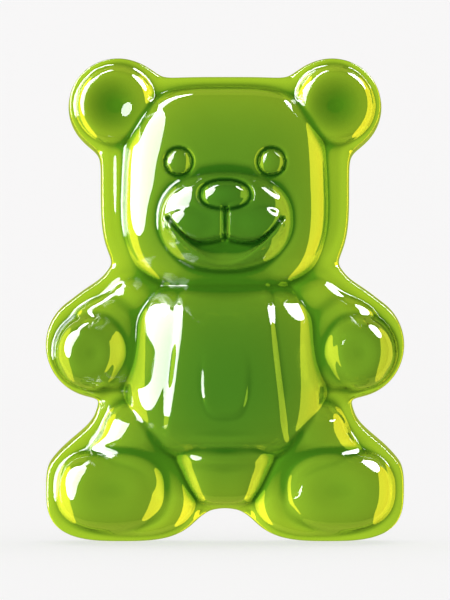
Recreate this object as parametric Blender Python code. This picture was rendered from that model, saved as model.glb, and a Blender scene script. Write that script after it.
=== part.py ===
"""Gummy bear: one soft moulded solid, seated, with a flat back and two flat heel spots to stand on.

The bear is cast in an open mould, so every form is a dome that rises from the flat back towards
the front (-Y) with straight walls and no undercut. Depths are counted from the back. The bear is
symmetric about X = 0, +Z is up, and the origin lies under the middle of its box.
"""

import math
from collections import namedtuple

import bmesh
import bpy
from mathutils import Vector

MM = 0.001

# Driving dimensions, in millimetres.
HEIGHT = 22.0
DEPTH = 9.5
BACK_Y = DEPTH / 2
HEEL_CUT = 0.22             # how much of the round heels the standing plane takes off

# Casting: the grain of the mould surface and how softly it rounds the forms.
BODY_VOXEL = 0.20
BODY_SOFTENING = 9
FACE_VOXEL = 0.15
FACE_SOFTENING = 2
TRIANGLES_KEPT = 0.07       # share of the cast skin that the finished solid keeps

GUMMY_COLOUR = (0.19, 0.40, 0.02, 1.0)
GUMMY_ROUGHNESS = 0.12

RING_COUNT = 12             # rings from a dome's shoulder to its crown
RING_POINTS = 64            # points around each ring
TUBE_POINTS = 33            # points along the smile and the lip line
GROOVE_POINTS = 9           # points along the short groove under the nose
TUBE_RESOLUTION = 4
BALL_SEGMENTS = 32
WELD_DISTANCE = 1e-7

# A dome: its place, its half sizes, the depth where its wall ends and the depth of its crown.
# plan_power squares its outline and dome_power flattens its top; 2 is an ellipse.
Dome = namedtuple("Dome", "x z half_width half_height shoulder crown plan_power dome_power")

# The base layer: low domes that give the bear its outline and a rim all round. A dome off the
# middle stands for the one at +X of a pair.
HEAD_BASE = Dome(0.0, 16.28, 5.68, 4.86, 3.4, 5.0, 3.75, 4.0)
TORSO_BASE = Dome(0.0, 7.60, 5.78, 6.12, 3.2, 4.7, 3.0, 4.0)
EAR_BASE = Dome(4.86, HEIGHT - 2.26, 2.27, 2.26, 3.0, 4.9, 2.0, 3.0)
SHOULDER_BASE = Dome(3.95, 10.58, 2.23, 2.23, 3.2, 4.9, 2.0, 3.0)
FIST_BASE = Dome(5.82, 8.92, 2.39, 2.38, 3.2, 5.1, 2.0, 3.0)
THIGH_BASE = Dome(3.74, 5.15, 2.25, 2.25, 3.4, 5.3, 2.0, 3.0)
FOOT_BASE = Dome(4.59, 2.40 - HEEL_CUT / 2, 3.63, 2.40 + HEEL_CUT / 2, 3.6, 6.0, 2.9, 3.0)

# The relief layer: what stands out inside the rim.
SKULL = Dome(0.0, 16.15, 5.25, 4.45, 3.9, 6.7, 2.8, 2.4)
FACE = Dome(0.0, 16.10, 4.35, 4.10, 5.8, 7.6, 2.9, 2.4)
MUZZLE = Dome(0.0, 14.55, 3.05, 2.30, 6.6, 8.7, 2.2, 2.4)
CHEST = Dome(0.0, 9.60, 3.30, 2.10, 4.2, 7.2, 2.4, 2.4)
BELLY = Dome(0.0, 7.10, 4.00, 2.90, 4.2, 8.4, 2.4, 2.6)
CROTCH = Dome(0.0, 3.20, 2.40, 1.75, 3.6, 6.6, 2.6, 2.4)
SHOULDER = Dome(3.95, 10.40, 1.85, 1.85, 3.8, 6.1, 2.0, 2.2)
FIST = Dome(5.90, 8.78, 1.98, 1.95, 4.0, 6.5, 2.0, 2.4)
PAW_PAD = Dome(6.04, 8.60, 1.72, 1.78, 5.7, 7.5, 2.0, 2.4)
THIGH = Dome(3.90, 4.85, 2.00, 1.95, 4.4, 7.3, 2.0, 2.3)
FOOT = Dome(4.55, 2.42, 3.25, 2.02, 4.8, 7.9, 2.7, 2.4)
SOLE_PAD = Dome(5.22, 2.40, 2.50, 1.88, 7.0, 9.1, 2.6, 2.5)
LIP = Dome(1.25, 14.40, 1.45, 0.98, 7.4, 9.0, 2.0, 2.2)

# Hollows and small raised details.
NOSE_Z = 15.64
NOSE_HALF_WIDTH = 1.05
NOSE_HALF_HEIGHT = 0.62
NOSE_HALF_DEPTH = 0.95
EAR_BOWL_X = 4.98
EAR_BOWL_Z = 19.92
EAR_BOWL_HALF_WIDTH = 1.42
EAR_BOWL_HALF_HEIGHT = 1.62
EAR_BOWL_DEPTH = 1.70
EYE_X = 2.06
EYE_Z = 17.10
EYE_RADIUS = 0.55
EYE_RISE = 0.32
SOCKET_RADIUS = 0.64
SOCKET_GROOVE = 0.13
LIP_NOTCH_Z = 13.77
LIP_LOW_X = 1.15
LIP_LOW_Z = 13.55
LIP_CORNER_X = 2.50
LIP_CORNER_Z = 14.60
LIP_GROOVE = 0.13
SMILE_LOW_Z = 13.02
SMILE_RADIUS = 0.48
SMILE_CORNER_RADIUS = 0.10


def clear_scene():
    """Remove every object that the file starts with."""
    for item in list(bpy.data.objects):
        bpy.data.objects.remove(item, do_unlink=True)


def gummy_material():
    """Soft translucent green jelly, told here by its colour and gloss alone."""
    material = bpy.data.materials.new("green_gummy")
    material.use_nodes = True
    shader = material.node_tree.nodes["Principled BSDF"]
    shader.inputs["Base Color"].default_value = GUMMY_COLOUR
    shader.inputs["Roughness"].default_value = GUMMY_ROUGHNESS
    shader.inputs["Metallic"].default_value = 0.0
    return material


def place(x, z, depth):
    """The point at x and z that lies this deep in front of the back, in metres."""
    return Vector((x, BACK_Y - depth, z)) * MM


def mirrored(dome):
    """The same dome on the bear's other side."""
    return dome._replace(x=-dome.x)


def dome_depth(dome, x, z):
    """How deep a dome stands at a point: a superellipse of the distance from its middle."""
    plan = abs((x - dome.x) / dome.half_width) ** dome.plan_power
    plan += abs((z - dome.z) / dome.half_height) ** dome.plan_power
    reach = min(plan ** (1 / dome.plan_power), 1.0)
    rise = (1 - reach ** dome.dome_power) ** (1 / dome.dome_power)
    return dome.shoulder + (dome.crown - dome.shoulder) * rise


def front_depth(domes, x, z):
    """The depth of the foremost dome at a point."""
    return max(dome_depth(dome, x, z) for dome in domes)


def dome_points(dome):
    """Points of a dome: its outline on the back, then rings from the shoulder to the crown."""
    rings = [(1.0, 0.0)]
    for step in range(RING_COUNT):
        angle = step / RING_COUNT * math.pi / 2
        reach = math.cos(angle) ** (2 / dome.dome_power)
        rise = math.sin(angle) ** (2 / dome.dome_power)
        rings.append((reach, dome.shoulder + (dome.crown - dome.shoulder) * rise))
    points = [place(dome.x, dome.z, dome.crown)]
    for reach, depth in rings:
        for index in range(RING_POINTS):
            turn = index / RING_POINTS * 2 * math.pi
            across = math.copysign(abs(math.cos(turn)) ** (2 / dome.plan_power), math.cos(turn))
            up = math.copysign(abs(math.sin(turn)) ** (2 / dome.plan_power), math.sin(turn))
            x = dome.x + dome.half_width * reach * across
            z = dome.z + dome.half_height * reach * up
            points.append(place(x, z, depth))
    return points


def add_hull(bm, domes):
    """Wrap one dome, or two that melt into one limb, in a closed convex skin."""
    hull = bmesh.new()
    for dome in domes:
        for point in dome_points(dome):
            hull.verts.new(point)
    result = bmesh.ops.convex_hull(hull, input=hull.verts)
    spare = {item for item in result["geom_interior"] + result["geom_unused"]
             if isinstance(item, bmesh.types.BMVert)}
    bmesh.ops.delete(hull, geom=list(spare), context="VERTS")
    bmesh.ops.recalc_face_normals(hull, faces=hull.faces)
    mesh = bpy.data.meshes.new("hull")
    hull.to_mesh(mesh)
    hull.free()
    bm.from_mesh(mesh)
    bpy.data.meshes.remove(mesh)


def make_object(name, bm, collection):
    """Turn a bmesh into a mesh object in a collection."""
    mesh = bpy.data.meshes.new(name)
    bm.to_mesh(mesh)
    bm.free()
    item = bpy.data.objects.new(name, mesh)
    collection.objects.link(item)
    return item


def make_helpers(name):
    """A collection for shapes that only cut the bear or grow on it."""
    collection = bpy.data.collections.new(name)
    bpy.context.scene.collection.children.link(collection)
    return collection


def hide_helper(item):
    """Show a helper as wire only, and never render it."""
    item.display_type = "WIRE"
    item.hide_render = True


def make_base():
    """The low overlapping domes that the rest of the bear stands on."""
    bm = bmesh.new()
    for dome in (HEAD_BASE, TORSO_BASE):
        add_hull(bm, [dome])
    for limb in ([EAR_BASE], [SHOULDER_BASE, FIST_BASE], [THIGH_BASE, FOOT_BASE]):
        add_hull(bm, limb)
        add_hull(bm, [mirrored(dome) for dome in limb])
    return make_object("gummy_bear", bm, bpy.context.scene.collection)


def make_relief(collection):
    """The domes inside the rim: head, body, limbs and their pads, as one set of shells."""
    middle = {"skull": [SKULL], "face": [FACE], "muzzle": [MUZZLE], "belly": [CHEST, BELLY],
              "crotch": [CROTCH]}
    paired = {"arm": [SHOULDER, FIST], "paw_pad": [PAW_PAD], "leg": [THIGH, FOOT],
              "sole_pad": [SOLE_PAD], "lip": [LIP]}
    for name, domes in middle.items():
        bm = bmesh.new()
        add_hull(bm, domes)
        hide_helper(make_object(name, bm, collection))
    for name, domes in paired.items():
        for side, shapes in (("right", domes), ("left", [mirrored(dome) for dome in domes])):
            bm = bmesh.new()
            add_hull(bm, shapes)
            hide_helper(make_object(name + "_" + side, bm, collection))


def make_ear_bowls(collection):
    """The bowls that hollow the ears, cut before the head grows over their inner edge."""
    sizes = (EAR_BOWL_HALF_WIDTH, EAR_BOWL_DEPTH, EAR_BOWL_HALF_HEIGHT)
    for side, sign in (("right", 1), ("left", -1)):
        centre = place(sign * EAR_BOWL_X, EAR_BOWL_Z, EAR_BASE.crown)
        add_ball("ear_bowl_" + side, centre, sizes, collection)


def add_ball(name, centre, sizes, collection):
    """An ellipsoid with the given half sizes along X, Y and Z, in millimetres."""
    bm = bmesh.new()
    bmesh.ops.create_uvsphere(bm, u_segments=BALL_SEGMENTS, v_segments=BALL_SEGMENTS // 2, radius=1.0)
    bmesh.ops.scale(bm, vec=Vector(sizes) * MM, verts=bm.verts)
    bmesh.ops.translate(bm, vec=centre, verts=bm.verts)
    hide_helper(make_object(name, bm, collection))


def add_tube(name, points, radii, collection, closed=False):
    """A round tube along a line of points, with its own radius at each point."""
    curve = bpy.data.curves.new(name + "_line", "CURVE")
    curve.dimensions = "3D"
    curve.bevel_depth = MM
    curve.bevel_resolution = TUBE_RESOLUTION
    curve.use_fill_caps = not closed
    spline = curve.splines.new("POLY")
    spline.points.add(len(points) - 1)
    for knot, point, radius in zip(spline.points, points, radii):
        knot.co = (*point, 1.0)
        knot.radius = radius
    spline.use_cyclic_u = closed
    line = bpy.data.objects.new(name + "_line", curve)
    bpy.context.scene.collection.objects.link(line)
    tube_mesh = bpy.data.meshes.new_from_object(line.evaluated_get(bpy.context.evaluated_depsgraph_get()))
    bpy.data.objects.remove(line)
    bm = bmesh.new()
    bm.from_mesh(tube_mesh)
    bmesh.ops.remove_doubles(bm, verts=bm.verts, dist=WELD_DISTANCE)
    bmesh.ops.recalc_face_normals(bm, faces=bm.faces)
    hide_helper(make_object(name, bm, collection))


def lip_height(x):
    """The upper lip line: two parabolas that share their lowest point on each side."""
    across = abs(x)
    if across < LIP_LOW_X:
        return LIP_LOW_Z + (LIP_NOTCH_Z - LIP_LOW_Z) * (1 - across / LIP_LOW_X) ** 2
    climb = (across - LIP_LOW_X) / (LIP_CORNER_X - LIP_LOW_X)
    return LIP_LOW_Z + (LIP_CORNER_Z - LIP_LOW_Z) * climb ** 2


def smile_height(x):
    """The middle line of the open smile: one parabola from corner to corner."""
    return SMILE_LOW_Z + (LIP_CORNER_Z - SMILE_LOW_Z) * (x / LIP_CORNER_X) ** 2


def make_face_lines(collection):
    """What is pressed into the face: eye sockets, lip line, smile and the groove under the nose."""
    face = (FACE, MUZZLE, LIP, mirrored(LIP))
    for side, sign in (("right", 1), ("left", -1)):
        ring = []
        for index in range(TUBE_POINTS - 1):
            turn = index / (TUBE_POINTS - 1) * 2 * math.pi
            x = sign * EYE_X + SOCKET_RADIUS * math.cos(turn)
            z = EYE_Z + SOCKET_RADIUS * math.sin(turn)
            ring.append(place(x, z, front_depth(face, x, z)))
        add_tube("eye_socket_" + side, ring, [SOCKET_GROOVE] * len(ring), collection, closed=True)

    stations = [LIP_CORNER_X * (2 * index / (TUBE_POINTS - 1) - 1) for index in range(TUBE_POINTS)]
    lip = [place(x, lip_height(x), front_depth(face, x, lip_height(x))) for x in stations]
    add_tube("lip_line", lip, [LIP_GROOVE] * len(lip), collection)
    smile = [place(x, smile_height(x), front_depth(face, x, smile_height(x))) for x in stations]
    radii = [SMILE_CORNER_RADIUS + (SMILE_RADIUS - SMILE_CORNER_RADIUS) * (1 - (x / LIP_CORNER_X) ** 2)
             for x in stations]
    add_tube("smile", smile, radii, collection)
    groove_top = NOSE_Z - NOSE_HALF_HEIGHT / 2
    groove_step = (groove_top - LIP_NOTCH_Z) / (GROOVE_POINTS - 1)
    heights = [LIP_NOTCH_Z + groove_step * index for index in range(GROOVE_POINTS)]
    groove = [place(0.0, z, front_depth(face, 0.0, z)) for z in heights]
    add_tube("nose_groove", groove, [LIP_GROOVE] * len(groove), collection)


def make_beads(collection):
    """The eyes, which stand out of their sockets, and the nose, the foremost point of the bear."""
    nose = place(0.0, NOSE_Z, DEPTH - NOSE_HALF_DEPTH)
    add_ball("nose", nose, (NOSE_HALF_WIDTH, NOSE_HALF_DEPTH, NOSE_HALF_HEIGHT), collection)
    for side, sign in (("right", 1), ("left", -1)):
        seat = dome_depth(FACE, EYE_X, EYE_Z)
        sizes = (EYE_RADIUS, EYE_RADIUS, EYE_RADIUS)
        add_ball("eye_" + side, place(sign * EYE_X, EYE_Z, seat + EYE_RISE - EYE_RADIUS), sizes, collection)


def make_mould_box(collection):
    """A block that keeps only what stands above the floor."""
    bm = bmesh.new()
    bmesh.ops.create_cube(bm, size=4 * HEIGHT * MM)
    bmesh.ops.translate(bm, vec=Vector((0, 0, 2 * HEIGHT * MM)), verts=bm.verts)
    box = make_object("mould_box", bm, collection)
    hide_helper(box)
    return box


def add_remesh(bear, name, voxel):
    """Melt the shapes into one skin of even squares."""
    remesh = bear.modifiers.new(name, "REMESH")
    remesh.mode = "VOXEL"
    remesh.voxel_size = voxel * MM


def add_softening(bear, name, passes):
    """Round the creases, as a cast in soft powder rounds them."""
    smooth = bear.modifiers.new(name, "SMOOTH")
    smooth.factor = 0.5
    smooth.iterations = passes


def add_boolean(bear, name, operation, collection):
    """Cut or grow the shapes of a collection."""
    boolean = bear.modifiers.new(name, "BOOLEAN")
    boolean.operation = operation
    boolean.solver = "EXACT"
    boolean.operand_type = "COLLECTION"
    boolean.collection = collection


def main():
    """Cast the bear: melt the domes, press in the face, stand it on the floor."""
    clear_scene()
    bear = make_base()
    bear.data.materials.append(gummy_material())
    ear_bowls = make_helpers("ear_bowls")
    make_ear_bowls(ear_bowls)
    relief = make_helpers("relief")
    make_relief(relief)
    face_lines = make_helpers("face_lines")
    make_face_lines(face_lines)
    beads = make_helpers("beads")
    make_beads(beads)
    mould = make_helpers("mould")
    make_mould_box(mould)

    add_remesh(bear, "melt_base", BODY_VOXEL)
    add_boolean(bear, "hollow_ears", "DIFFERENCE", ear_bowls)
    add_boolean(bear, "grow_relief", "UNION", relief)
    add_remesh(bear, "melt_domes", BODY_VOXEL)
    add_softening(bear, "soften_body", BODY_SOFTENING)
    add_boolean(bear, "press_face", "DIFFERENCE", face_lines)
    add_boolean(bear, "grow_beads", "UNION", beads)
    add_remesh(bear, "melt_face", FACE_VOXEL)
    add_softening(bear, "soften_face", FACE_SOFTENING)
    add_boolean(bear, "stand_on_floor", "INTERSECT", mould)
    decimate = bear.modifiers.new("fewer_triangles", "DECIMATE")
    decimate.ratio = TRIANGLES_KEPT
    for polygon in bear.data.polygons:
        polygon.use_smooth = True


main()
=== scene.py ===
# %% [markdown]
# # A green gummy bear
#
# A gummy bear is one piece of clear fruit jelly. Hot syrup is poured into a bear-shaped hollow in
# a tray of starch, so the front and the sides take the form of the hollow, and the back sets flat.
# The lesson builds the bear in three steps: its outline, the relief inside the outline, and the
# clear green jelly. The frame gives the size and the place of the part, and the camera comes last.

# %% Load the frame
import math
from collections import namedtuple

import bpy
import numpy as np
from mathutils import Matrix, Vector


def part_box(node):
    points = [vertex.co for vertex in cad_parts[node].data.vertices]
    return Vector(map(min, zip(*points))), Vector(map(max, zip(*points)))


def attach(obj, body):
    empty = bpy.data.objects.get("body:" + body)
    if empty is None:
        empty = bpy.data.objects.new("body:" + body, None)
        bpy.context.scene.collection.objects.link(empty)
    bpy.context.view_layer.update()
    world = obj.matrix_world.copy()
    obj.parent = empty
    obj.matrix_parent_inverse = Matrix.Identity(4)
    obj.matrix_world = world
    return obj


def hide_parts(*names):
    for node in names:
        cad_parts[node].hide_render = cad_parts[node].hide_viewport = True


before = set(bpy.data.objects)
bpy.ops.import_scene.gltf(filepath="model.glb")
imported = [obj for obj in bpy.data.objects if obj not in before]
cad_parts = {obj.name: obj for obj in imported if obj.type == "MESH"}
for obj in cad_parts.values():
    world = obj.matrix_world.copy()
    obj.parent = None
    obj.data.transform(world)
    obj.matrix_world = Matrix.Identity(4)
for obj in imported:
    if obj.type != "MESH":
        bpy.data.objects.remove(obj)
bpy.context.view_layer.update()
low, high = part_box("gummy_bear")
print("frame box in mm:", [round(1000 * side, 2) for side in high - low])

# %% [markdown]
# ## The maker's unit
#
# A bear comes in many sizes with the same proportions, so a maker draws it once, 22 units tall.
# Here the frame's height gives the unit, which is about one millimetre. Depths count forwards from
# the flat back, and the frame's depth gives their unit. Every size below is in these units, and only
# the finished points are turned into metres.

# %% Units and the grid
UNITS_TALL = 22.0
UNITS_DEEP = 9.5
UNIT = (high.z - low.z) / UNITS_TALL
DEPTH_UNIT = (high.y - low.y) / UNITS_DEEP
COLUMNS = 240                # grid cells across the front
ROWS = 320                   # grid cells up the front
BACK_STEP = 4                # the plain back needs only every fourth point
print("one unit is", round(1000 * UNIT, 4), "mm")

# %% [markdown]
# ## Rounded forms
#
# Nearly everything on a gummy bear is a rounded bump: ears, cheeks, paws, belly. They could be
# sculpted one by one, but one formula covers them all and keeps every one of them smooth. A
# superellipse measures how far a point lies from the middle of a bump, as a share of the way to its
# edge. A second superellipse turns that share into a height. The first power squares the outline,
# and the second one flattens the top. A limb is the same bump drawn from one place to another, and
# a pear-shaped form is one bump whose sizes change down its height.

# %% Bumps, limbs and pears
Bump = namedtuple("Bump", "x z half_width half_height shoulder crown plan_power top_power")
SKIRT_SLOPE = 3.0            # how steeply a bump falls away outside its own edge
TINY = 1e-6                  # keeps a division by a length of nothing from failing


def smooth_step(share):
    """Three times the square less twice the cube of a share held between 0 and 1."""
    held_share = np.clip(share, 0.0, 1.0)
    return held_share * held_share * (3 - 2 * held_share)


def blend(first, second, share):
    """The bump that lies this share of the way from the first to the second, size by size."""
    return Bump(*[start + (end - start) * share for start, end in zip(first, second)])


def along(first, second, x, z):
    """The bump at the nearest point of the line from one bump to the other, every size blended.

    The share of the way is the point's projection on the line, as a smooth step, so that no crease
    crosses the limb where a bump begins.
    """
    run = np.array([second.x - first.x, second.z - first.z])
    share = ((x - first.x) * run[0] + (z - first.z) * run[1]) / max(run @ run, TINY)
    return blend(first, second, smooth_step(share))


def pear(first, second, z):
    """One bump whose sizes pass from the first to the second down its height, as a smooth step."""
    share = (first.z + first.half_height - z) / (2 * first.half_height)
    return blend(first, second, smooth_step(share))


def reach(bump, x, z):
    """Superellipse distance: 0 at the middle of the bump, 1 on its edge."""
    power = bump.plan_power
    across = np.abs((x - bump.x) / bump.half_width) ** power
    upward = np.abs((z - bump.z) / bump.half_height) ** power
    return (across + upward) ** (1 / power)


def bump_depth(bump, x, z):
    """Shoulder plus a superelliptic rise to the crown; outside the edge it falls by the skirt."""
    distance = reach(bump, x, z)
    inside = np.minimum(distance, 1.0)
    rise = (1 - inside ** bump.top_power) ** (1 / bump.top_power)
    skirt = SKIRT_SLOPE * np.minimum(bump.half_width, bump.half_height) * (distance - inside)
    return bump.shoulder + (bump.crown - bump.shoulder) * rise - skirt


print("a bump is told by:", ", ".join(Bump._fields))

# %% [markdown]
# ## The forms of the rim
#
# A low rim runs round the whole sweet, where the syrup met the edge of its hollow. It is made of
# ten plain forms: head, body, and on each side an ear, an arm, a leg and a bit of the seat. Only
# one half is listed, because both halves are alike.

# %% List the rim forms
HEAD_RIM = Bump(0.0, 16.36, 5.67, 4.80, 4.4, 4.9, 3.75, 4.0)
BODY_RIM = Bump(0.0, 7.55, 4.75, 6.05, 4.4, 4.8, 4.1, 4.0)
EAR_RIM = Bump(4.85, 19.78, 2.29, 2.22, 4.4, 4.8, 2.0, 3.0)
SHOULDER_RIM = Bump(3.93, 10.58, 2.14, 2.28, 4.4, 4.8, 2.0, 3.0)
FIST_RIM = Bump(5.86, 8.94, 2.32, 2.38, 4.4, 4.9, 2.0, 3.0)
THIGH_RIM = Bump(3.74, 5.36, 2.23, 1.91, 4.4, 5.0, 2.0, 3.0)
FOOT_RIM = Bump(4.64, 2.39, 3.53, 2.39, 4.4, 5.1, 2.95, 3.0)
SEAT_RIM = Bump(1.63, 2.24, 0.90, 0.90, 4.4, 4.8, 2.0, 3.0)

# Every form is a pair of bumps to run between; a form with one bump names it twice.
RIM_FORMS = [(HEAD_RIM, HEAD_RIM), (BODY_RIM, BODY_RIM), (EAR_RIM, EAR_RIM),
             (SHOULDER_RIM, FIST_RIM), (THIGH_RIM, FOOT_RIM), (SEAT_RIM, SEAT_RIM)]
print(len(RIM_FORMS), "forms make one half of the rim")

# %% [markdown]
# ## The outline
#
# Seen from the front, the rim forms melt into one outline. An outline could be traced as a list of
# points, but a formula keeps every fillet round: the soft minimum of the distances to all forms is
# zero on the outline. A search by halving finds the zero along a whole bundle of rays at once.
# Rays go sideways from the legs and ears for the two sides, down for the seat and up for the head.

# %% Find the outline along rays
MELT = 0.22                  # radius scale of the fillets between the forms
SMALLEST = 1e-300            # keeps the logarithm of nothing from failing, far away from every form
HALVINGS = 32
RAY_LENGTH = 6.0
CORNER_TURN = math.radians(45)


def outline_gap(x, z):
    """Soft minimum of the signed distances to the rim forms: negative inside the bear."""
    total = np.zeros(np.broadcast(x, z).shape)
    for first, second in RIM_FORMS:
        form = along(first, second, np.abs(x), z)
        size = np.minimum(form.half_width, form.half_height)
        total += np.exp(-(reach(form, np.abs(x), z) - 1) * size / MELT)
    return -MELT * np.log(total + SMALLEST)


def ray_exits(x, z, step_x, step_z):
    """How far each ray runs before it leaves the bear.

    The stretch that holds the exit is halved again and again, and the half is kept whose near end
    lies inside and whose far end lies outside.
    """
    near = np.zeros(np.broadcast(x, z).shape)
    far = near + RAY_LENGTH
    for _ in range(HALVINGS):
        halfway = (near + far) / 2
        inside = outline_gap(x + halfway * step_x, z + halfway * step_z) < 0
        near = np.where(inside, halfway, near)
        far = np.where(inside, far, halfway)
    return (near + far) / 2


def corner(form, upward):
    """The outline point at 45 degrees from the middle of a form: outwards, and up or down."""
    step_x, step_z = math.cos(CORNER_TURN), upward * math.sin(CORNER_TURN)
    run = float(ray_exits(np.array(form.x), np.array(form.z), step_x, step_z))
    return form.x + run * step_x, form.z + run * step_z


heel_x, heel_z = corner(FOOT_RIM, -1)
ear_x, ear_z = corner(EAR_RIM, 1)
print("corners:", round(heel_x, 2), round(heel_z, 2), round(ear_x, 2), round(ear_z, 2))

# %% [markdown]
# ## Even spacing with more points on the face
#
# The grid lines end on the outline, so their ends have to be spread well: by length along the
# outline where it curves, but also by plain position, so that lines stay nearly straight inside. A
# weight packs more rows into the face, where the details are finest.

# %% Spread the points
SPACING_WINDOW = 400         # lengths are averaged over this many dense points, so steps change slowly
LENGTH_SHARE = 0.45          # how much of the spacing follows the outline's length


def spread(places, partner, weight, count):
    """Places at equal steps of a mixed measure along one border.

    The measure is the border's averaged length, from the places and their partner coordinate, plus
    the weighted distance between the places, each of the two as a share of its own whole.
    """
    step = np.diff(places)
    weighted = step * (weight[1:] + weight[:-1]) / 2
    window = np.hanning(SPACING_WINDOW)
    padded = np.pad(np.hypot(step, np.diff(partner)), SPACING_WINDOW // 2, mode="edge")
    length = np.convolve(padded, window / window.sum(), mode="valid")[:len(step)]
    measure = LENGTH_SHARE * length / length.sum() + (1 - LENGTH_SHARE) * weighted / weighted.sum()
    total = np.concatenate([[0.0], np.cumsum(measure)])
    return np.interp(np.linspace(0, total[-1], count + 1), total, places)


print("spacing: share of length", LENGTH_SHARE, "and share of position", round(1 - LENGTH_SHARE, 2))

# %% [markdown]
# ## The closed border
#
# The sides are found at even heights and the seat and the top at even widths, each from its own
# bundle of rays. Joined end to end they are one closed loop of points, and the loop's own tangent,
# turned by a right angle, says which way is out.

# %% Trace the border
DENSE = 4000                 # points on each border before they are spread
CORE_X = 4.7                 # a line at this X lies inside the bear from the foot to the ear
FACE_Z = 15.4
FACE_SPREAD = 3.2
FACE_EXTRA = 0.9             # rows are this much denser at the face
FACE_EDGE = 4                # how suddenly that ends above and below it


def side_outline(z):
    """Half width of the bear at each height, from rays that run sideways."""
    return CORE_X + ray_exits(np.full_like(z, CORE_X), z, 1.0, 0.0)


def seat_outline(x):
    """Lower edge of the bear at each X, from rays that run down from the middle of the feet."""
    return FOOT_RIM.z - ray_exits(x, np.full_like(x, FOOT_RIM.z), 0.0, -1.0)


def top_outline(x):
    """Upper edge of the bear at each X, from rays that run up from the middle of the ears."""
    return EAR_RIM.z + ray_exits(x, np.full_like(x, EAR_RIM.z), 0.0, 1.0)


dense_z = np.linspace(heel_z, ear_z, DENSE)
face_weight = 1 + FACE_EXTRA * np.exp(-((dense_z - FACE_Z) / FACE_SPREAD) ** FACE_EDGE)
side_z = spread(dense_z, side_outline(dense_z), face_weight, ROWS)
side_x = side_outline(side_z)
dense_x = np.linspace(-heel_x, heel_x, DENSE)
seat_x = spread(dense_x, seat_outline(dense_x), np.ones(DENSE), COLUMNS)
seat_z = seat_outline(seat_x)
dense_x = np.linspace(-ear_x, ear_x, DENSE)
top_x = spread(dense_x, top_outline(dense_x), np.ones(DENSE), COLUMNS)
top_z = top_outline(top_x)

# One closed loop, anticlockwise as seen from the front: seat, right side, top, left side.
loop_x = np.concatenate([seat_x[:-1], side_x[:-1], top_x[:0:-1], -side_x[:0:-1]])
loop_z = np.concatenate([seat_z[:-1], side_z[:-1], top_z[:0:-1], side_z[:0:-1]])
tangent_x = np.roll(loop_x, -1) - np.roll(loop_x, 1)
tangent_z = np.roll(loop_z, -1) - np.roll(loop_z, 1)
stretch = np.hypot(tangent_x, tangent_z)
outward_x, outward_z = tangent_z / stretch, -tangent_x / stretch
print(len(loop_x), "points on the outline")

# %% [markdown]
# ## A sheet over the outline
#
# Four border curves can be filled with one smooth sheet. A Coons patch blends all four evenly, but
# then the wavy top and seat would bend every row. Here each row is a straight blend from the left
# border to the right one, and only near the bottom and the top are the bends of those borders added,
# fading as they go in.

# %% Fill a closed loop with a grid
FADE = 0.35                  # share of the height over which a border's bends die out
RIM_INSET = 0.18             # how far the rounded edge reaches in from the outline


def split_loop(values, columns, rows):
    """Bottom, top, left and right borders of a loop, each from its low end to its high end."""
    bottom = values[:columns + 1]
    right = values[columns:columns + rows + 1]
    top = values[columns + rows:2 * columns + rows + 1][::-1]
    left = np.concatenate([values[2 * columns + rows:], values[:1]])[::-1]
    return bottom, top, left, right


def fill(values, columns, rows):
    """One coordinate of the sheet, from that coordinate of the loop.

    A straight blend from left to right, plus how far the bottom and top borders stray from their
    own straight lines, each fading with the cube of the distance.
    """
    bottom, top, left, right = split_loop(values, columns, rows)
    u = np.linspace(0, 1, columns + 1)[None, :]
    v = np.linspace(0, 1, rows + 1)[:, None]
    across = (1 - u) * left[:, None] + u * right[:, None]
    low_stray = bottom - ((1 - u) * bottom[0] + u * bottom[-1])
    top_stray = top - ((1 - u) * top[0] + u * top[-1])
    low_fade = np.maximum(1 - v / FADE, 0) ** 3
    top_fade = np.maximum(1 - (1 - v) / FADE, 0) ** 3
    return across + low_stray * low_fade + top_stray * top_fade


front_loop_x = loop_x - RIM_INSET * outward_x
front_loop_z = loop_z - RIM_INSET * outward_z
front_x = fill(front_loop_x, COLUMNS, ROWS)
front_z = fill(front_loop_z, COLUMNS, ROWS)
print("front grid:", front_x.shape)

# %% [markdown]
# ## Even grid lines
#
# The rows and columns of the sheet still bunch up where a fillet of the outline bends in. Moving each
# point towards the mean of its neighbours spreads them, as a stretched net does. Beside the border
# the points are held, or the lines would cross it where it curves inwards.

# %% Even out the grid
GRID_EASING = 120            # passes that even out the grid lines
HELD_CELLS = 12


def soften(sheets, passes, pull=1.0):
    """Draw each inner grid point half way to the mean of its four neighbours, again and again.

    The pull scales that step, as one number or as one for each inner point; the border stays.
    """
    for _ in range(passes):
        for sheet in sheets:
            inner = sheet[1:-1, 1:-1]
            around = sheet[:-2, 1:-1] + sheet[2:, 1:-1] + sheet[1:-1, :-2] + sheet[1:-1, 2:]
            sheet[1:-1, 1:-1] = inner + pull * (around / 4 - inner) / 2


def inner_pull(columns, rows):
    """0 beside the border and 1 from HELD_CELLS inwards, so that eased lines can't cross it."""
    column, row = np.arange(1, columns)[None, :], np.arange(1, rows)[:, None]
    cells_in = np.minimum(np.minimum(column, columns - column), np.minimum(row, rows - row))
    return np.clip((cells_in - 1) / HELD_CELLS, 0, 1)


held = inner_pull(COLUMNS, ROWS)
soften([front_x, front_z], GRID_EASING, held)
print("points that move freely:", int((held == 1).sum()), "of", held.size)

# %% [markdown]
# ## The forms of the front
#
# On the rim stand the face, the trunk and the lap, which are pears, because they widen or narrow
# downwards. The arms and legs run from a shoulder or a thigh to a paw or a foot, and carry the
# pads. The muzzle stands on the face, with the two halves of the lip on it. Depths count from the
# back, so a crown of 9 nearly reaches the front.

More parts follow.
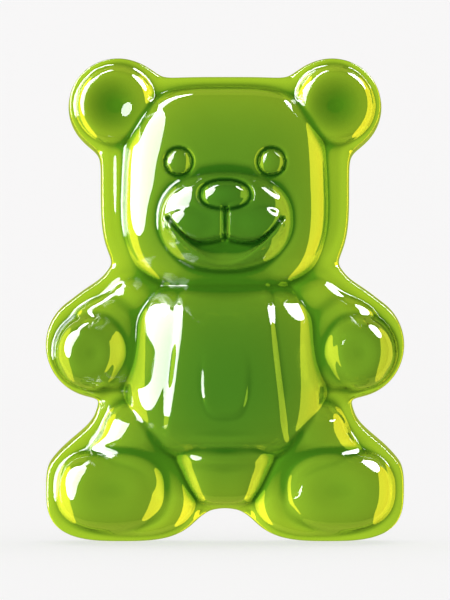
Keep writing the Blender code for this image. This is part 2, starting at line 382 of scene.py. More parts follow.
# %% List the forms of the front
BROW = Bump(0.0, 16.05, 4.38, 4.42, 5.2, 7.9, 3.3, 1.8)
CHIN = Bump(0.0, 16.05, 4.58, 4.66, 5.2, 7.9, 2.9, 2.1)
CHEST = Bump(0.0, 7.93, 4.35, 4.05, 4.9, 8.5, 3.1, 1.75)
BELLY = Bump(0.0, 7.93, 4.50, 4.25, 4.7, 8.9, 2.9, 2.5)
LAP_TOP = Bump(0.0, 4.05, 3.20, 2.20, 4.4, 7.9, 3.2, 2.4)
LAP_FOOT = Bump(0.0, 4.05, 1.55, 2.20, 5.0, 7.3, 3.6, 2.4)
PEARS = [(BROW, CHIN), (CHEST, BELLY), (LAP_TOP, LAP_FOOT)]

EAR = Bump(4.90, 19.76, 1.80, 1.78, 4.4, 6.3, 2.0, 2.2)
SHOULDER = Bump(3.90, 10.50, 1.70, 1.60, 4.2, 5.8, 2.0, 2.0)
FIST = Bump(5.25, 9.10, 1.95, 2.12, 4.3, 7.0, 2.0, 2.2)
PAW_PAD = Bump(6.02, 8.68, 1.62, 1.72, 4.8, 7.6, 2.0, 2.3)
THIGH = Bump(3.75, 5.05, 1.80, 1.55, 4.4, 7.0, 2.0, 2.0)
FOOT = Bump(4.30, 2.42, 2.95, 2.03, 4.6, 6.5, 2.6, 2.0)
SOLE_PAD = Bump(5.04, 2.45, 2.44, 1.84, 5.2, 7.05, 2.5, 2.0)
MUZZLE = Bump(0.0, 14.60, 3.05, 2.35, 6.4, 9.2, 2.2, 2.2)
LIP = Bump(1.24, 14.42, 1.42, 0.96, 7.8, 9.25, 2.0, 2.1)
LIMBS = [(SHOULDER, FIST), (PAW_PAD, PAW_PAD), (THIGH, FOOT), (SOLE_PAD, SOLE_PAD),
         (MUZZLE, MUZZLE), (LIP, LIP)]
print(len(PEARS), "pears and", len(LIMBS), "limbs and pads stand on the rim")

# %% [markdown]
# ## The rim
#
# A plain maximum of the depths would leave knife-sharp creases, which syrup never fills. A soft
# maximum rounds each crease with a small fillet. The rim is the soft maximum of its ten forms, and
# the distance to the outline shapes it further: a thin flange outermost, then the low rim, then a
# gentle hill up to the forms.

# %% Shape the rim
FILLET = 0.18
RIM_BAND = 0.50              # width of the low rim, and the run and rise of the hill inside it
HILL_RUN = 1.80
HILL_RISE = 0.75
FLANGE_WIDTH = 0.40          # the flange, the slope behind it, and how much lower it lies
FLANGE_BEVEL = 0.36
FLANGE_STEP = 0.15


def soft_max(a, b, fillet):
    """The larger of two depths, with a parabola of the given reach where they are nearly equal."""
    mix = np.clip(0.5 + 0.5 * (a - b) / fillet, 0, 1)
    return b + (a - b) * mix + fillet * mix * (1 - mix) / 2


def rim(x, z, inland):
    """Soft maximum of the rim forms, plus a hill and less a flange, both smooth steps inland."""
    depth = np.full(x.shape, HEAD_RIM.shoulder)
    for first, second in RIM_FORMS:
        depth = soft_max(depth, bump_depth(along(first, second, x, z), x, z), FILLET)
    hill = smooth_step((inland - RIM_BAND) / HILL_RUN)
    flange = smooth_step(1 - (inland - FLANGE_WIDTH) / FLANGE_BEVEL)
    return depth + HILL_RISE * hill - FLANGE_STEP * flange


front_rim = rim(np.abs(front_x), front_z, -outline_gap(front_x, front_z))
print("rim from", round(front_rim.min(), 2), "to", round(front_rim.max(), 2))

# %% [markdown]
# ## The relief
#
# Now the forms are stacked on the rim, and the hollows are taken away: the bowls of the ears, shallow
# dents in paws and soles where the jelly sank, and a groove round each pad, which fades out before
# it could notch the outline. A last light softening takes the hardness off, as syrup would.

# %% Stack the forms
EAR_BOWL = Bump(5.06, 19.80, 1.58, 1.58, 0.0, 1.05, 2.0, 2.0)
SOLE_DENT = Bump(5.05, 2.50, 1.45, 1.05, 0.0, 0.32, 2.2, 2.0)
PAW_DENT = Bump(5.95, 8.60, 0.95, 1.00, 0.0, 0.30, 2.0, 2.0)
GROOVES = [(PAW_PAD, 0.26, 0.24), (SOLE_PAD, 0.34, 0.26), (MUZZLE, 0.10, 0.18)]   # depth, width
SHORE = 0.70                 # grooves fade out over this distance from the front's border
BODY_SOFTENING = 6           # passes over the whole relief


def bell(distance, width):
    """Bell curve: e to the power of less the square of the distance over the width."""
    return np.exp(-(distance / width) ** 2)


def dent(bump, x, z):
    """A round hollow: its crown times the square of one less the squared distance."""
    inside = np.minimum(reach(bump, x, z), 1.0)
    return bump.crown * (1 - inside ** 2) ** 2


def relief(depth, x, z):
    """The rim's depth raised by each form in turn with a soft maximum, less dents and grooves."""
    x = np.abs(x)
    depth = soft_max(depth, bump_depth(EAR, x, z), FILLET) - dent(EAR_BOWL, x, z)
    for first, second in PEARS:
        depth = soft_max(depth, bump_depth(pear(first, second, z), x, z), FILLET)
    for first, second in LIMBS:
        depth = soft_max(depth, bump_depth(along(first, second, x, z), x, z), FILLET)
    depth = depth - dent(SOLE_DENT, x, z) - dent(PAW_DENT, x, z)
    ashore = np.clip((-outline_gap(x, z) - RIM_INSET) / SHORE, 0, 1)
    for form, groove_depth, groove_width in GROOVES:
        away = (reach(form, x, z) - 1) * min(form.half_width, form.half_height)
        depth = depth - groove_depth * ashore * bell(away, groove_width)
    return depth


front_depth = relief(front_rim, front_x, front_z)
print("relief from", round(front_depth.min(), 2), "to", round(front_depth.max(), 2))
soften([front_x, front_z], BODY_SOFTENING, held)
soften([front_depth], BODY_SOFTENING)

# %% [markdown]
# ## The mouth
#
# The mouth is a smile pressed into the muzzle under a lip line shaped like a wide W. It could be cut
# with a tool shape, but a depth that is worked out between two curves has no sharp walls to mend.
# The hollow is deepest just under the lip line and runs out smoothly at the lower edge of the smile.
# The lip line and the short line up to the nose are grooves, whose depth is a bell curve of the
# distance from their middle.

# %% Press in the mouth
NOSE = Bump(0.0, 15.66, 1.03, 0.60, 8.35, 9.38, 2.2, 2.0)
LIP_NOTCH_Z = 13.77          # the middle peak of the W, its low points and its ends
LIP_LOW_X = 1.15
LIP_LOW_Z = 13.55
LIP_CORNER_X = 2.50
LIP_CORNER_Z = 14.60
LINE_WIDTH = 0.12
LINE_DEPTH = 0.75
SMILE_LOW_Z = 12.62          # the lowest point of the smile's lower edge
SMILE_DEPTH = 1.6
LIP_OVERHANG = 10            # how suddenly the mouth deepens under the upper lip


def lip_line(x):
    """Two parabolas that share their lowest point: one from the notch, one up to the corner."""
    inner = LIP_LOW_Z + (LIP_NOTCH_Z - LIP_LOW_Z) * (1 - x / LIP_LOW_X) ** 2
    climb = (x - LIP_LOW_X) / (LIP_CORNER_X - LIP_LOW_X)
    outer = LIP_LOW_Z + (LIP_CORNER_Z - LIP_LOW_Z) * climb ** 2
    return np.where(x < LIP_LOW_X, inner, outer)


def press_mouth(depth, x, z):
    """A hollow between the smile's parabola and the lip line, then the line itself and the notch.

    The hollow follows a parabola up from the lower edge, times one less a high power of the share
    of the way up. The square root of the opening makes it shallow at the corners.
    """
    x = np.abs(x)
    within = np.minimum(x, LIP_CORNER_X)
    upper = lip_line(within)
    lower = SMILE_LOW_Z + (LIP_CORNER_Z - SMILE_LOW_Z) * (within / LIP_CORNER_X) ** 2
    room = np.maximum(upper - lower, TINY)
    share = np.clip((z - lower) / room, 0, 1)
    opening = np.clip(room / (LIP_NOTCH_Z - SMILE_LOW_Z), 0, 1)
    hollow = share * (2 - share) * (1 - share ** LIP_OVERHANG)
    depth = depth - SMILE_DEPTH * np.sqrt(opening) * hollow * (x < LIP_CORNER_X)
    depth = depth - LINE_DEPTH * bell(np.hypot(z - upper, x - within), LINE_WIDTH)
    beyond = np.maximum(np.maximum(z - NOSE.z, LIP_NOTCH_Z - z), 0)
    return depth - LINE_DEPTH * bell(np.hypot(x, beyond), LINE_WIDTH)


front_depth = press_mouth(front_depth, front_x, front_z)
print("the smile is", 2 * LIP_CORNER_X, "units wide")

# %% [markdown]
# ## Folds and panels
#
# Two soft folds cross the lap where the belly bends, and two panels lie on the trunk, a broad one
# down its length and a small one at its middle. Each panel is a low plateau with smooth sides that
# fades out at one end. They are only a quarter of a unit high, but clear jelly shows every change
# of slope as a line of light.

# %% Raise the folds and panels
FOLDS = ((4.66, 0.27), (3.80, 0.26))         # height and half width of each fold
FOLD_RISE = 0.30
FOLD_HALF_WIDTH = 1.7
PANEL = Bump(0.0, 7.60, 1.10, 1.95, 0.0, 0.20, 3.0, 2.0)
PANEL_EDGE = 0.20            # the sides of a panel, as a share of the way to its middle
PANEL_FADE = (9.0, 6.6)      # the small panel is gone above the first height, whole below the second
TRUNK_TOP = Bump(0.0, 7.60, 2.15, 4.90, 0.0, 0.24, 8.0, 2.0)
TRUNK_FOOT = Bump(0.0, 7.60, 3.00, 4.90, 0.0, 0.24, 8.0, 2.0)
TRUNK_EDGE = 0.16
TRUNK_FADE = (4.4, 5.6)      # the broad one is gone below the first height, whole above the second


def plateau(form, x, z, edge, fade):
    """The crown times a smooth step in from the edge, times a straight fade between two heights."""
    inside = smooth_step((1 - reach(form, x, z)) / edge)
    gone, whole = fade
    return form.crown * inside * np.clip((z - gone) / (whole - gone), 0, 1)


def raise_trunk(depth, x, z):
    """Folds are products of a bell up the height and one across; the panels are plateaus."""
    x = np.abs(x)
    for fold_z, fold_width in FOLDS:
        depth = depth + FOLD_RISE * bell(z - fold_z, fold_width) * bell(x, FOLD_HALF_WIDTH)
    trunk = pear(TRUNK_TOP, TRUNK_FOOT, z)
    depth = depth + plateau(PANEL, x, z, PANEL_EDGE, PANEL_FADE)
    return depth + plateau(trunk, x, z, TRUNK_EDGE, TRUNK_FADE)


front_depth = raise_trunk(front_depth, front_x, front_z)
print(len(FOLDS), "folds and 2 panels on the trunk")

# %% [markdown]
# ## Eyes and nose
#
# Eyes and nose are beads that stand in shallow rings. They could be separate balls, but the real
# sweet is one casting, so they are part of the same depth: the larger of the jelly's own depth and
# the bead's round. At the end all depths are stretched a little away from the tip of the nose, which
# makes the whole relief bolder.

# %% Set the beads
EYE_X = 2.06
EYE_Z = 17.14
EYE_RADIUS = 0.56
EYE_RISE = 0.46              # how far an eye stands out of the face
RING_OFFSET = 0.05           # the ring's middle lies this far outside the bead
RING_DEPTH = 0.42
RING_WIDTH = 0.08
FACE_SOFTENING = 2           # passes once the face is on
BOLDNESS = 1.2               # how much more the forms stand out than the sizes above say


def set_beads(depth, x, z):
    """Less a bell-shaped ring round each bead, then the larger of that depth and the bead's own.

    An eye is part of a ball and the nose is half an egg: each rises with the square root of one
    less the squared distance.
    """
    x = np.abs(x)
    seat = float(bump_depth(pear(BROW, CHIN, EYE_Z), EYE_X, EYE_Z))
    eye = np.hypot(x - EYE_X, z - EYE_Z)
    depth = depth - RING_DEPTH * bell(eye - EYE_RADIUS - RING_OFFSET, RING_WIDTH)
    ball = seat + EYE_RISE - EYE_RADIUS + np.sqrt(np.maximum(EYE_RADIUS ** 2 - eye ** 2, 0))
    depth = np.where(eye < EYE_RADIUS, np.maximum(depth, ball), depth)
    nose = reach(NOSE, x, z)
    depth = depth - RING_DEPTH * bell((nose - 1) * NOSE.half_height - RING_OFFSET, RING_WIDTH)
    tip = NOSE.shoulder + (NOSE.crown - NOSE.shoulder) * np.sqrt(np.maximum(1 - nose ** 2, 0))
    return np.where(nose < 1, np.maximum(depth, tip), depth)


front_depth = set_beads(front_depth, front_x, front_z)
soften([front_depth], FACE_SOFTENING)
front_depth = UNITS_DEEP - (front_depth.max() - front_depth) * BOLDNESS
print("deepest point:", round(front_depth.max(), 3))

# %% [markdown]
# ## Where the colour gathers, and where shade and glow are painted
#
# Creases, hollows and the ear bowls get painted shade, deep green, and ridges a painted yellow glow.
# The skin carries a measure of this. A blurred copy of the relief lies above the relief in a hollow
# and below it on a ridge. A small blur finds the creases and the lines of the face, and a wide one
# the valleys between the limbs. The last map is the thickness itself, which gives the jelly's own
# deeper green. What light is left falls off by the same share in each layer of jelly, so the colour
# deepens fast at first and slowly later.

# %% Mark painted shade in hollows, painted glow on ridges, and thickness
CREASE_PASSES = 10           # the wider the blur, the more passes
LINE_PASSES = 30
VALLEY_PASSES = 500
CREASE_HEIGHT = 0.07         # a difference of about this much counts as a full hollow
LINE_HEIGHT = 0.09
VALLEY_HEIGHT = 0.38
VALLEY_SHARE = 1.2           # how much of a hollow the valleys count for, and of a ridge the lines
RIDGE_SHARE = 0.5
PAINTED_BOWL_SHADE = 0.45            # painted shade in the ear bowls too
RIM_CLEAR = 1.3              # nearer than this to the outline the painted shade fades out, where the jelly is thin
THIN_DEPTH = 4.4             # jelly this deep has the thin colour, and the deepest has the thick colour
THICK_RATE = 2.14            # in between, the light that is left falls by this power of e


def above(depth, passes):
    """How far the blurred relief lies above the relief itself: positive in hollows."""
    blurred = depth.copy()
    soften([blurred], passes)
    return blurred - depth


# Painted shade in narrow creases; the lines and valleys give painted shade in hollows and a painted
# glow on ridges
painted_crease_share = np.tanh(np.maximum(above(front_depth, CREASE_PASSES), 0) / CREASE_HEIGHT) ** 2
lines = np.tanh(above(front_depth, LINE_PASSES) / LINE_HEIGHT)
valleys = np.tanh(above(front_depth, VALLEY_PASSES) / VALLEY_HEIGHT)
inland = np.clip(-outline_gap(front_x, front_z) / RIM_CLEAR, 0, 1)
bowl = np.clip(1 - reach(EAR_BOWL, np.abs(front_x), front_z) ** 2, 0, 1)
painted_hollow_share = np.clip((np.maximum(lines, 0) + VALLEY_SHARE * np.maximum(valleys, 0)) * inland, 0, 1)
painted_ridge_glow_share = np.clip(RIDGE_SHARE * np.maximum(-lines, 0) + np.maximum(-valleys, 0), 0, 1)
layer_share = np.clip((front_depth - THIN_DEPTH) / (UNITS_DEEP - THIN_DEPTH), 0, 1)
thick_share = (1 - np.exp(-THICK_RATE * layer_share)) / (1 - math.exp(-THICK_RATE))
# The crease and hollow maps carry painted shade, the ridge map a painted glow, the thick map the
# jelly's own deeper green
skin_maps = {"crease": np.maximum(painted_crease_share, PAINTED_BOWL_SHADE * bowl),
             "hollow": np.maximum(painted_hollow_share, bowl),
             "ridge": painted_ridge_glow_share,
             "thick": thick_share}
for name, values in skin_maps.items():
    print("mean of", name, "map:", round(float(values.mean()), 3))

# %% [markdown]
# ## The edge and the wall
#
# The front sheet stops a little inside the outline. From there a band runs round the whole bear: a
# rounded edge, then a wall that leans out slightly so that the sweet leaves its mould, then a small
# round to the back. A bevel would do for the edge, but a bevel meets the front at an angle. A
# parabola that starts in the slope of the front and ends upright in the wall shows no line where
# they meet.

# %% Find the slope at the edge
WALL_TOP = 3.0               # depth at which the wall ends and the rounded edge begins
KNEE_MARGIN = 0.25           # the wall ends at least this far behind the point that bends the edge
STEEPEST = 1.2
MEAN_REACH = 12              # the slope is averaged over this many points to each side


def border(values):
    """The border of a grid as a closed loop, anticlockwise from its lower left corner."""
    return np.concatenate([values[0, :-1], values[:-1, -1], values[-1, :0:-1], values[:0:-1, 0]])


def inner_ring(values):
    """The loop one cell inside the border, with a value for each point of the border."""
    return border(np.pad(values[1:-1, 1:-1], 1, mode="edge"))


edge_depth = border(front_depth)
inward = np.hypot(inner_ring(front_x) - front_loop_x, inner_ring(front_z) - front_loop_z)
slope = np.clip((inner_ring(front_depth) - edge_depth) / inward, 0, STEEPEST)
mean = np.ones(2 * MEAN_REACH + 1) / (2 * MEAN_REACH + 1)
slope = np.convolve(np.pad(slope, MEAN_REACH, mode="wrap"), mean, mode="valid")
knee_depth = edge_depth - slope * RIM_INSET
wall_depth = np.minimum(WALL_TOP, knee_depth - KNEE_MARGIN)
print("mean slope at the edge:", round(float(slope.mean()), 3))

# %% [markdown]
# ## The band
#
# The band is a stack of loops. Each loop is the outline drawn inwards by an inset, at some depth, so
# only the two numbers have to be worked out: along the parabola of the edge, straight down the wall,
# and round a quarter of a circle to the back.

# %% Work out the band
WALL_LEAN = 0.035            # how much the outline shrinks for each unit of depth
BACK_ROUND = 0.45
EDGE_STEPS = 6
WALL_STEPS = 4
BACK_STEPS = 4


def steps(count):
    """Even shares of the way without the start, as a column that crosses with the loop."""
    return np.linspace(0, 1, count + 1)[1:, None]


def parabola(share, start, knee, end):
    """Quadratic curve that leaves the start towards the knee and reaches the end from the knee."""
    left = 1 - share
    return left ** 2 * start + 2 * left * share * knee + share ** 2 * end


wall_inset = WALL_LEAN * wall_depth
edge_insets = parabola(steps(EDGE_STEPS), RIM_INSET, wall_inset, wall_inset)
edge_depths = parabola(steps(EDGE_STEPS), edge_depth, knee_depth, wall_depth)
wall_depths = wall_depth + (BACK_ROUND - wall_depth) * steps(WALL_STEPS)
wall_insets = WALL_LEAN * (wall_depths - BACK_ROUND)
bend = steps(BACK_STEPS) * math.pi / 2
back_insets = np.tile(BACK_ROUND * (1 - np.cos(bend)), len(loop_x))
back_depths = np.tile(BACK_ROUND * (1 - np.sin(bend)), len(loop_x))
band_insets = np.concatenate([edge_insets, wall_insets, back_insets])
band_depth = np.concatenate([edge_depths, wall_depths, back_depths])
band_x = loop_x - band_insets * outward_x
band_z = loop_z - band_insets * outward_z
print("band:", band_x.shape)

# %% [markdown]
# ## The back
#
# The back is the open side of the mould, flat and plain, so it is a coarser sheet over every fourth
# point of the loop. Jelly sinks a little as it dries, so a shallow dish is pressed in, which rises
# to the edge as a bell curve of the distance to the outline.

# %% Work out the back
DISH = 0.16                  # depth of the dish, and how far in from the edge it is almost whole
DISH_EDGE = 1.4

back_columns, back_rows = COLUMNS // BACK_STEP, ROWS // BACK_STEP
back_inset = BACK_ROUND + RIM_INSET
back_x = fill((loop_x - back_inset * outward_x)[::BACK_STEP], back_columns, back_rows)
back_z = fill((loop_z - back_inset * outward_z)[::BACK_STEP], back_columns, back_rows)
from_edge = np.maximum(-outline_gap(back_x, back_z) - back_inset, 0)
back_depth = DISH * (1 - bell(from_edge, DISH_EDGE))
print("back grid:", back_x.shape)

# %% [markdown]
# ## Sew the sheets together
#
# The front, the band and the back share their border points, so the skin is closed. Faces are
# listed as whole arrays of point numbers, anticlockwise as seen from outside, because that is how a
# face says which way it points. Between the fine band and the coarse back, each coarse step takes
# five triangles.

# %% Helpers that list faces
def grid_quads(ids):
    """Quads of a grid, anticlockwise as seen with the first index up and the second to the right."""
    corners = [ids[:-1, :-1], ids[:-1, 1:], ids[1:, 1:], ids[1:, :-1]]
    return np.stack(corners, axis=-1).reshape(-1, 4)


def band_quads(rings):
    """Quads between each ring and the next one further back, closed round the loop."""
    after = np.roll(rings, -1, axis=1)
    corners = [rings[:-1], rings[1:], after[1:], after[:-1]]
    return np.stack(corners, axis=-1).reshape(-1, 4)


def zip_triangles(fine, coarse):
    """Five triangles for each coarse step, which spans four fine ones."""
    f0, f1, f2, f3 = (fine[step::BACK_STEP] for step in range(BACK_STEP))
    f4 = np.roll(f0, -1)
    c0, c1 = coarse, np.roll(coarse, -1)
    fans = [(f0, c0, f1), (f1, c0, f2), (f2, c0, c1), (f2, c1, f3), (f3, c1, f4)]
    return np.concatenate([np.stack(fan, axis=-1) for fan in fans])


print("a grid of 2 by 2 points makes", len(grid_quads(np.arange(4).reshape(2, 2))), "quad")

# %% [markdown]
# ## The mesh
#
# The points of front, band and back go into one mesh. This is the step from units to metres: up
# from the frame's lowest point, and forwards from its rear. The maps go in as attributes, which a
# material reads by name. Band and back are thin and plain, so their values stay nothing.

# %% Build the mesh
front_ids = np.arange(front_x.size).reshape(front_x.shape)
band_ids = front_x.size + np.arange(band_x.size).reshape(band_x.shape)
back_ids = front_x.size + band_x.size + np.arange(back_x.size).reshape(back_x.shape)
rings = np.concatenate([border(front_ids)[None, :], band_ids])
quads = np.concatenate([grid_quads(front_ids), band_quads(rings), grid_quads(back_ids)[:, ::-1]])
triangles = zip_triangles(band_ids[-1], border(back_ids))

all_x = np.concatenate([front_x.ravel(), band_x.ravel(), back_x.ravel()])
all_z = np.concatenate([front_z.ravel(), band_z.ravel(), back_z.ravel()])
all_depth = np.concatenate([front_depth.ravel(), band_depth.ravel(), back_depth.ravel()])
points = np.stack([all_x * UNIT,
                   high.y - all_depth * DEPTH_UNIT,
                   low.z + np.maximum(all_z, 0) * UNIT], axis=-1)


def link_mesh(name, points, faces):
    """A smooth-shaded mesh of these points and faces, on an object of the same name in the scene."""
    mesh = bpy.data.meshes.new(name)
    mesh.from_pydata(points.tolist(), [], faces)
    mesh.shade_smooth()
    piece = bpy.data.objects.new(name, mesh)
    bpy.context.scene.collection.objects.link(piece)
    return piece


gummy_skin = link_mesh("gummy_skin", points, quads.tolist() + triangles.tolist())
for name, values in skin_maps.items():
    layer = gummy_skin.data.attributes.new(name, "FLOAT", "POINT")
    layer.data.foreach_set("value", np.pad(values.ravel(), (0, len(points) - values.size)))
mended = gummy_skin.data.validate()
print("triangles:", 2 * len(quads) + len(triangles), "problems mended:", mended)

# %% [markdown]
# ## Sums on sockets
#
# A material is a graph of nodes, and wiring sums by hand hides what they mean. This class wraps a
# socket, so that a plain Python sum adds its Math node, also where the number comes first. Every
# other node comes from one method: its type, its settings, then its sockets by name, or by number
# where two share a name.

# %% A small class for shader maths
MIX_SHARE, MIX_FIRST, MIX_SECOND, MIX_RESULT = 0, 6, 7, 2      # a Mix node's sockets for colours


class Shade:
    """A node socket that takes part in Python sums, each of which adds a Math node."""

    tree = None

    def __init__(self, socket):
        self.socket = socket

    @classmethod
    def start(cls, owner):
        """Empty the node tree of a material or world, and add the next nodes there."""
        owner.use_nodes = True
        cls.tree = owner.node_tree
        cls.tree.nodes.clear()

    @classmethod
    def node(cls, kind, settings, sockets, output=0):
        """Add a node: settings first, then the values or links of sockets; gives one output."""
        item = cls.tree.nodes.new(kind)
        for name, value in settings.items():
            setattr(item, name, value)
        for key, value in sockets.items():
            if isinstance(value, Shade):
                cls.tree.links.new(value.socket, item.inputs[key])
            else:
                item.inputs[key].default_value = value
        return cls(item.outputs[output]) if item.outputs else None

    @classmethod
    def mix(cls, share, first, second, blend_type="MIX"):
        """A blend of two colours, or with MULTIPLY the first one times the second, which paints shade
        or glow.
        """
        return cls.node("ShaderNodeMix", {"data_type": "RGBA", "blend_type": blend_type},
                        {MIX_SHARE: share, MIX_FIRST: first, MIX_SECOND: second}, MIX_RESULT)

    @classmethod
    def math(cls, operation, *values):
        """A Math node on one or two numbers."""
        return cls.node("ShaderNodeMath", {"operation": operation}, dict(enumerate(values)))

    def __add__(self, other):
        return Shade.math("ADD", self, other)

    def __sub__(self, other):
        return Shade.math("SUBTRACT", self, other)

    def __rsub__(self, other):
        return Shade.math("SUBTRACT", other, self)

    def __mul__(self, other):
        return Shade.math("MULTIPLY", self, other)

    def __abs__(self):
        return Shade.math("ABSOLUTE", self)

    __radd__ = __add__
    __rmul__ = __mul__


print("shader maths: + - * and abs")

# %% [markdown]
# ## The colour of the jelly
#
# Jelly is clear, and its dye swallows red and blue light on the way through, so a thin rim looks
# yellow-green and a thick belly deep green. A volume that absorbs light does just that, but alone it
# turns the sides of the bear nearly black, because light runs the whole width of the body there. So
# the volume is weak, and most of the green is a tint on the skin that follows the thickness map.
# The tint starts with two thin greens that change in slow waves, and the other maps paint light and
# shade on it: a warmer painted glow on ridges, deep green painted shade in hollows, deepest in creases.

# %% Mix the tint, with painted shade and glow
THIN_GREEN = (0.350, 0.500, 0.019, 1.0)
THIN_YELLOW = (0.370, 0.490, 0.019, 1.0)
THICK_GREEN = (0.030, 0.130, 0.0075, 1.0)
# Painted light: the ridge colour paints a yellow glow on ridges, the hollow and crease colours paint
# shade
PAINTED_RIDGE_GLOW = (1.22, 1.05, 1.0, 1.0)
PAINTED_HOLLOW_SHADE = (0.085, 0.28, 0.18, 1.0)
PAINTED_CREASE_SHADE = (0.037, 0.123, 0.11, 1.0)
WAVE_SCALE = 500.0           # waves about 2 mm apart, grain a third of a millimetre
GRAIN_SCALE = 3500.0
NOISE_DETAIL = 2.0

jelly = bpy.data.materials.new("clear_green_gummy")
Shade.start(jelly)
place = Shade.node("ShaderNodeTexCoord", {}, {}, "Object")


def noise(scale):
    """Soft irregular waves over the object's own coordinates, from 0 to 1."""
    sockets = {"Vector": place, "Scale": scale, "Detail": NOISE_DETAIL}
    return Shade.node("ShaderNodeTexNoise", {}, sockets, "Fac")


def skin_map(name):
    """One of the values that the skin carries at its points."""
    return Shade.node("ShaderNodeAttribute", {"attribute_name": name}, {}, "Fac")


waves = noise(WAVE_SCALE)
grain = noise(GRAIN_SCALE)
tint_with_painted_light = Shade.mix(waves, THIN_GREEN, THIN_YELLOW)
tint_with_painted_light = Shade.mix(skin_map("thick"), tint_with_painted_light, THICK_GREEN)
# Painted glow on ridges, then painted shade in hollows and creases
tint_with_painted_light = Shade.mix(skin_map("ridge"), tint_with_painted_light, PAINTED_RIDGE_GLOW, "MULTIPLY")
tint_with_painted_light = Shade.mix(skin_map("hollow"), tint_with_painted_light, PAINTED_HOLLOW_SHADE, "MULTIPLY")
tint_with_painted_light = Shade.mix(skin_map("crease"), tint_with_painted_light, PAINTED_CREASE_SHADE, "MULTIPLY")
print("nodes in the tint:", len(Shade.tree.nodes))

# %% [markdown]
# ## The skin of the jelly
#
# A fresh gummy is rubbed with a little oil and wax, so it is as glossy as glass, but never as even:
# the starch leaves a faint grain, and the drying leaves slow waves. Both are a bump of a twentieth
# of a millimetre at most, and the grain also breaks up the gloss a little. Jelly bends light about
# as much as strong syrup does.

# %% Make the jelly
JELLY_ABSORB = (0.0, 0.406, 0.75, 1.0)
JELLY_DENSITY = 110.0        # strength over a metre; the colour above is the light it spares
JELLY_IOR = 1.47
WAVE_BUMP = 0.9
GRAIN_BUMP = 0.1
BUMP_STRENGTH = 0.10
BUMP_HEIGHT = 0.00005        # metres
GLOSS = 0.005                # roughness where the grain is lowest, and what the grain adds
GRAIN_GLOSS = 0.03

bump = Shade.node("ShaderNodeBump", {}, {
    "Height": waves * WAVE_BUMP + grain * GRAIN_BUMP,
    "Strength": BUMP_STRENGTH,
    "Distance": BUMP_HEIGHT})
surface = Shade.node("ShaderNodeBsdfPrincipled", {}, {
    "Base Color": tint_with_painted_light,
    "Roughness": grain * GRAIN_GLOSS + GLOSS,
    "IOR": JELLY_IOR,
    "Transmission Weight": 1.0,
    "Normal": bump})
volume = Shade.node("ShaderNodeVolumeAbsorption", {}, {
    "Color": JELLY_ABSORB,
    "Density": JELLY_DENSITY})
Shade.node("ShaderNodeOutputMaterial", {}, {"Surface": surface, "Volume": volume})
gummy_skin.data.materials.append(jelly)
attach(gummy_skin, "root")
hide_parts("gummy_bear")
print("material:", jelly.name, "with", len(jelly.node_tree.nodes), "nodes")

# %% [markdown]
# ## The table
#
# The table is a wide pale bowl of paper, flat under the bear and rising far away, so no horizon
# shows from any side. It is worked out in rings: the first half of them lie flat, and the others
# climb a quarter of an ellipse. Clear jelly would show every edge of it through the body, so the
# sweet doesn't see the table at all. The paper glows a little, which keeps it evenly pale.

# %% Lay the table
FLAT_RADIUS = 0.30           # metres, as are all sizes from here on
RISE_RADIUS = 0.50
WALL_HEIGHT = 0.80
BOWL_RINGS = 40
BOWL_SPOKES = 96
PAPER_LOOK = {"Base Color": (0.2, 0.2, 0.2, 1.0), "Emission Color": (1.0, 1.0, 1.0, 1.0),
              "Emission Strength": 0.71, "Roughness": 0.9, "Specular IOR Level": 0.1}

spoke_turn = np.linspace(0, 2 * math.pi, BOWL_SPOKES, endpoint=False)[None, :]
ring_share = steps(BOWL_RINGS)
climb = np.clip(2 * ring_share - 1, 0, 1) * math.pi / 2
radius = FLAT_RADIUS * np.minimum(2 * ring_share, 1) + RISE_RADIUS * np.sin(climb)
lift = np.tile(WALL_HEIGHT * (1 - np.cos(climb)), BOWL_SPOKES)
table_rings = np.stack([radius * np.cos(spoke_turn), radius * np.sin(spoke_turn), lift], axis=-1)
table_points = np.concatenate([[[0.0, 0.0, 0.0]], table_rings.reshape(-1, 3)])
ring_ids = 1 + np.arange(BOWL_RINGS * BOWL_SPOKES).reshape(BOWL_RINGS, BOWL_SPOKES)
centre_fan = np.stack([np.zeros(BOWL_SPOKES, int), ring_ids[0], np.roll(ring_ids[0], -1)], axis=-1)
table = link_mesh("table", table_points, centre_fan.tolist() + band_quads(ring_ids).tolist())
table.location.z = low.z
table.visible_transmission = False
table.visible_glossy = False

paper = bpy.data.materials.new("pale_paper")
Shade.start(paper)
paper_surface = Shade.node("ShaderNodeBsdfPrincipled", {}, PAPER_LOOK)
Shade.node("ShaderNodeOutputMaterial", {}, {"Surface": paper_surface})
table.data.materials.append(paper)
print("table:", len(table_points), "points")

# %% [markdown]
# ## The sky
#
# What shows through clear jelly is what stands behind it, bent and turned round. So the world is a
# soft white tent whose brightness changes slowly with the direction: brightest at right angles to
# the bear's front, dimmer behind it, dimmest straight above and below, and a little brighter to one
# side, which gives the form a light and a dark flank. Reflections don't see the sky, only windows.

# %% Hang the sky
SKY_COLOUR = (1.0, 0.95, 0.95, 1.0)
SKY_BACK = 1.70              # brightness straight behind the sweet
SKY_SIDE = 2.35              # at right angles to it
SKY_TILT = 0.45              # how much brighter the sky is to the right, and darker to the left
SKY_POLES = 0.48             # the share of all that which is left straight above and below

world = bpy.data.worlds.new("studio")
Shade.start(world)
direction = Shade.node("ShaderNodeTexCoord", {}, {}, "Generated")


def part_along(axis):
    """How much of the direction runs along an axis, from -1 to 1: their dot product."""
    settings = {"operation": "DOT_PRODUCT"}
    return Shade.node("ShaderNodeVectorMath", settings, {0: direction, 1: axis}, "Value")


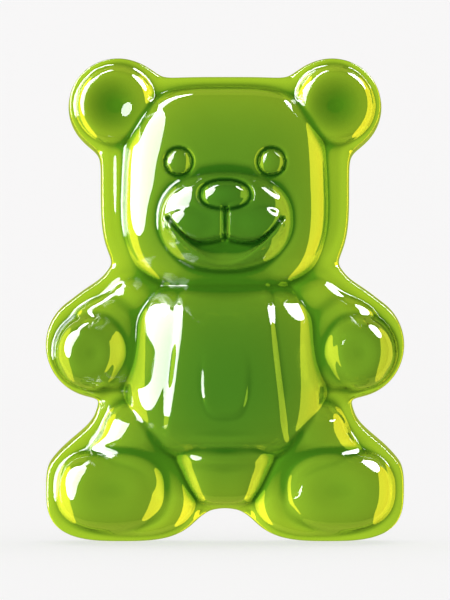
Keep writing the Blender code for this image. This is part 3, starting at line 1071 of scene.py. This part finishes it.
facing = abs(part_along((0, 1, 0)))
height = part_along((0, 0, 1))
sideways = part_along((1, 0, 0))
brightness = SKY_SIDE - facing * (SKY_SIDE - SKY_BACK)
brightness = brightness * (1 - height * height * (1 - SKY_POLES)) * (sideways * SKY_TILT + 1)
sky = Shade.node("ShaderNodeBackground", {}, {"Color": SKY_COLOUR, "Strength": brightness})
Shade.node("ShaderNodeOutputWorld", {}, {"Surface": sky})
world.cycles_visibility.glossy = False
bpy.context.scene.world = world
bpy.context.scene.view_settings.view_transform = "Standard"
print("nodes in the sky:", len(world.node_tree.nodes))

# %% [markdown]
# ## The windows
#
# The white patches on a glossy sweet are the windows of the room. Lamps stand in for them, each a
# flat ellipse that lights only the sweet, so that the table stays even. Three show as reflections,
# and a wide green one keeps the edges that face away from looking grey. The last two are seen only
# through the jelly, where they make the yellow glow beside the deep green. A lamp's place is given
# by two angles as seen from the sweet, and its size by two more.

# %% Set up the windows
LAMP_DISTANCE = 0.5
WHITE = (1.0, 1.0, 1.0)
LEAF_GREEN = (0.50, 0.62, 0.06)
WARM_GLOW = (0.90, 0.41, 0.36)

# Azimuth 0 stands before the sweet and 90 to its right; the four angles are in degrees.
Lamp = namedtuple("Lamp", "name azimuth elevation width height brightness colour through")
LAMPS = [Lamp("window_left", -102, 22, 60, 72, 14.0, WHITE, False),
         Lamp("window_right", 134, 38, 36, 30, 12.0, WHITE, False),
         Lamp("window_above", -139, 52, 46, 12, 10.0, WHITE, False),
         Lamp("window_behind", 180, 0, 70, 110, 0.6, LEAF_GREEN, False),
         Lamp("glow_left", -138, 8, 32, 90, 3.5, WARM_GLOW, True),
         Lamp("glow_right", 138, 8, 24, 90, 3.5, WARM_GLOW, True)]

lit_sweet = bpy.data.collections.new("lit_by_windows")
lit_sweet.objects.link(gummy_skin)
centre = (low + high) / 2


def hang(lamp):
    """A flat lamp that shows only in the sweet: either reflected, or through the jelly.

    Its power is the brightness as seen from the front, times pi, times the two sizes.
    """
    turn, rise = math.radians(lamp.azimuth), math.radians(lamp.elevation)
    away = Vector((math.sin(turn) * math.cos(rise), -math.cos(turn) * math.cos(rise), math.sin(rise)))
    light = bpy.data.lights.new(lamp.name, "AREA")
    light.shape = "ELLIPSE"
    light.size = 2 * LAMP_DISTANCE * math.tan(math.radians(lamp.width / 2))
    light.size_y = 2 * LAMP_DISTANCE * math.tan(math.radians(lamp.height / 2))
    light.energy = lamp.brightness * math.pi * light.size * light.size_y
    light.color = lamp.colour
    holder = bpy.data.objects.new(lamp.name, light)
    holder.location = centre + away * LAMP_DISTANCE
    holder.rotation_euler = (-away).to_track_quat("-Z", "Y").to_euler()
    holder.visible_camera = False
    holder.visible_transmission = lamp.through
    holder.visible_glossy = not lamp.through
    holder.light_linking.receiver_collection = lit_sweet
    bpy.context.scene.collection.objects.link(holder)


for lamp in LAMPS:
    hang(lamp)
print(len(LAMPS), "lamps:", ", ".join(lamp.name for lamp in LAMPS))

# %% [markdown]
# ## The camera
#
# The bear is looked at straight from the front, at the height of its middle, from about eleven
# times its own height away, where its forms look undistorted. The lens follows from the distance
# and from how much height the view should hold.

# %% Set up the camera
CAMERA_DISTANCE = 0.25       # metres from the frame's rear
CAMERA_HEIGHT = 10.99        # in the maker's units, as is the height that the view holds
FRAME_HEIGHT = 27.44
SENSOR = 36.0                # millimetres
NEAREST = 0.001
FARTHEST = 10.0

camera_data = bpy.data.cameras.new("camera")
camera_data.sensor_width = SENSOR
camera_data.lens = SENSOR * CAMERA_DISTANCE / (FRAME_HEIGHT * UNIT)
camera_data.clip_start = NEAREST
camera_data.clip_end = FARTHEST
camera = bpy.data.objects.new("camera", camera_data)
camera.location = (0.0, high.y - CAMERA_DISTANCE, low.z + CAMERA_HEIGHT * UNIT)
camera.rotation_euler = (math.radians(90), 0.0, 0.0)
bpy.context.scene.collection.objects.link(camera)
bpy.context.scene.camera = camera
print("lens:", round(camera_data.lens, 1), "mm")
